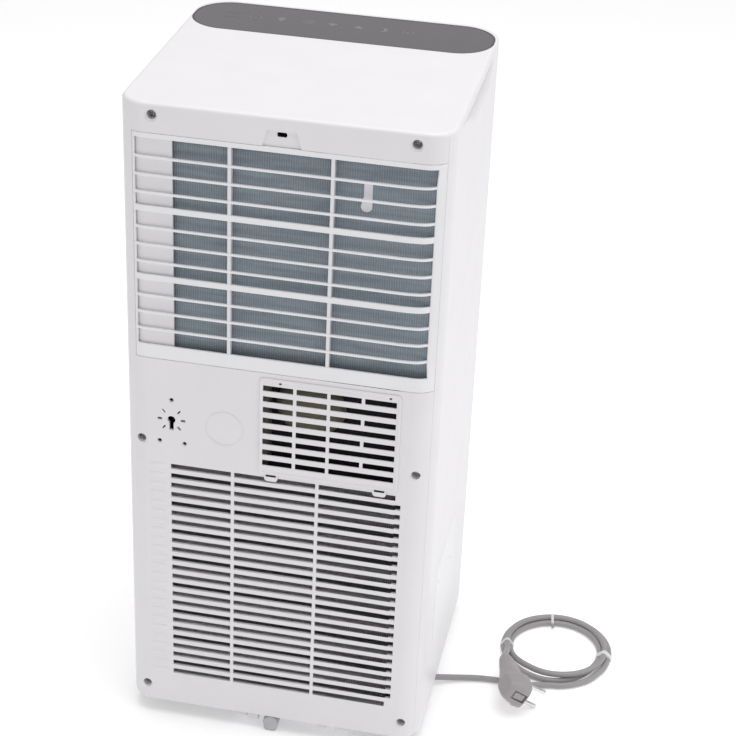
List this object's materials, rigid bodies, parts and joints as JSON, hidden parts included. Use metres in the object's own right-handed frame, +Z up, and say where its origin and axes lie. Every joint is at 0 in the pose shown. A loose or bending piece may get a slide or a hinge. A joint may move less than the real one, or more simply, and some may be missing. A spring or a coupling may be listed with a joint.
{
  "type": "portable air conditioner",
  "caption": "Upright portable air conditioner on casters with rear filter frame, exhaust outlet grille, condenser grille, touch panel on top and a coiled mains lead.",
  "frame": {"origin": "on the floor under the middle of the body", "axes": "+Z up, -Y the front with the air outlet, +Y the back with the filter frame and the grilles"},
  "size_m": [0.4815, 0.295, 0.675],
  "materials": {
    "white_shell": "satin",
    "white_tray": "satin",
    "panel_gloss": "glossy",
    "mesh_fabric": "fine woven nylon",
    "drain_grey": "translucent satin",
    "duct_beige": "matte",
    "blower_black": "matte",
    "motor_steel": "satin",
    "fins": "fine fins",
    "compressor_black": "gloss paint",
    "copper": "bright copper",
    "rubber_feet": "matte",
    "box_grey": "zinc plated",
    "capacitor_black": "satin",
    "board_green": "solder mask",
    "screw_steel": "zinc plated",
    "fork_grey": "satin",
    "caster_tyre": "matte",
    "lead_grey": "satin",
    "pin_chrome": "polished"
  },
  "bodies": {
    "cabinet": {"accumulator": "copper", "air_duct": "duct_beige", "base_tray": "white_tray", "capillary": "copper", "compressor": "compressor_black", "compressor_foot_1": "rubber_feet", "compressor_foot_2": "rubber_feet", "compressor_foot_3": "rubber_feet", "condenser_coil": "fins", "condenser_motor": "motor_steel", "condenser_scroll": "duct_beige", "control_box": "box_grey", "control_box_lid": "box_grey", "control_panel": "panel_gloss", "cord_clamp": "box_grey", "cord_coil": "lead_grey", "cord_gland": "lead_grey", "cord_tail": "lead_grey", "discharge_pipe": "copper", "display_board": "board_green", "drain_sump": "white_tray", "evaporator_coil": "fins", "evaporator_motor": "motor_steel", "evaporator_volute": "duct_beige", "exhaust_duct": "duct_beige", "front_shell": "white_shell", "louver_motor": "motor_steel", "main_board": "board_green", "middle_deck": "duct_beige", "outlet_vanes": "white_shell", "plug_body": "lead_grey", "plug_pin_1": "pin_chrome", "plug_pin_2": "pin_chrome", "power_cord": "lead_grey", "rear_panel": "white_shell", "rear_screw_1": "screw_steel", "rear_screw_2": "screw_steel", "rear_screw_3": "screw_steel", "rear_screw_4": "screw_steel", "rear_screw_5": "screw_steel", "rear_screw_6": "screw_steel", "run_capacitor": "capacitor_black", "suction_pipe": "copper", "top_cover": "white_shell"},
    "louver": {"outlet_louver": "white_shell"},
    "filter": {"filter_frame": "white_shell", "filter_mesh": "mesh_fabric"},
    "exhaust_cover": {"exhaust_grille": "white_shell"},
    "drain_cap": {"drain_plug": "drain_grey"},
    "evaporator_fan": {"evaporator_blower": "blower_black"},
    "condenser_fan": {"condenser_blower": "blower_black"},
    "caster_1": {"caster_fork_1": "fork_grey"},
    "wheel_1": {"caster_wheel_1": "caster_tyre"},
    "caster_2": {"caster_fork_2": "fork_grey"},
    "wheel_2": {"caster_wheel_2": "caster_tyre"},
    "caster_3": {"caster_fork_3": "fork_grey"},
    "wheel_3": {"caster_wheel_3": "caster_tyre"},
    "caster_4": {"caster_fork_4": "fork_grey"},
    "wheel_4": {"caster_wheel_4": "caster_tyre"}
  },
  "joints": [
    {"name": "louver_hinge", "type": "hinge", "parent": "cabinet", "child": "louver", "pos_m": [0, -0.1448, 0.596], "axis": [1, 0, 0], "range_deg": [0, 75]},
    {"name": "filter_pull", "type": "slide", "parent": "cabinet", "child": "filter", "axis": [0, 1, 0], "range_m": [0, 0.06]},
    {"name": "exhaust_cover_pull", "type": "slide", "parent": "cabinet", "child": "exhaust_cover", "axis": [0, 1, 0], "range_m": [0, 0.03]},
    {"name": "drain_cap_pull", "type": "slide", "parent": "cabinet", "child": "drain_cap", "axis": [0, 1, 0], "range_m": [0, 0.02]},
    {"name": "evaporator_fan_spin", "type": "hinge", "parent": "cabinet", "child": "evaporator_fan", "pos_m": [-0.03, 0.018, 0.512], "axis": [0, 1, 0], "continuous": true},
    {"name": "condenser_fan_spin", "type": "hinge", "parent": "cabinet", "child": "condenser_fan", "pos_m": [-0.045, 0.028, 0.19], "axis": [0, 1, 0], "continuous": true},
    {"name": "caster_1_swivel", "type": "hinge", "parent": "cabinet", "child": "caster_1", "pos_m": [0.118, -0.112, 0.04], "axis": [0, 0, 1], "continuous": true},
    {"name": "wheel_1_roll", "type": "hinge", "parent": "caster_1", "child": "wheel_1", "pos_m": [0.118, -0.106, 0.0155], "axis": [1, 0, 0], "continuous": true},
    {"name": "caster_2_swivel", "type": "hinge", "parent": "cabinet", "child": "caster_2", "pos_m": [-0.118, -0.112, 0.04], "axis": [0, 0, 1], "continuous": true},
    {"name": "wheel_2_roll", "type": "hinge", "parent": "caster_2", "child": "wheel_2", "pos_m": [-0.118, -0.106, 0.0155], "axis": [1, 0, 0], "continuous": true},
    {"name": "caster_3_swivel", "type": "hinge", "parent": "cabinet", "child": "caster_3", "pos_m": [0.118, 0.086, 0.04], "axis": [0, 0, 1], "continuous": true},
    {"name": "wheel_3_roll", "type": "hinge", "parent": "caster_3", "child": "wheel_3", "pos_m": [0.118, 0.092, 0.0155], "axis": [1, 0, 0], "continuous": true},
    {"name": "caster_4_swivel", "type": "hinge", "parent": "cabinet", "child": "caster_4", "pos_m": [-0.118, 0.086, 0.04], "axis": [0, 0, 1], "continuous": true},
    {"name": "wheel_4_roll", "type": "hinge", "parent": "caster_4", "child": "wheel_4", "pos_m": [-0.118, 0.092, 0.0155], "axis": [1, 0, 0], "continuous": true}
  ]
}
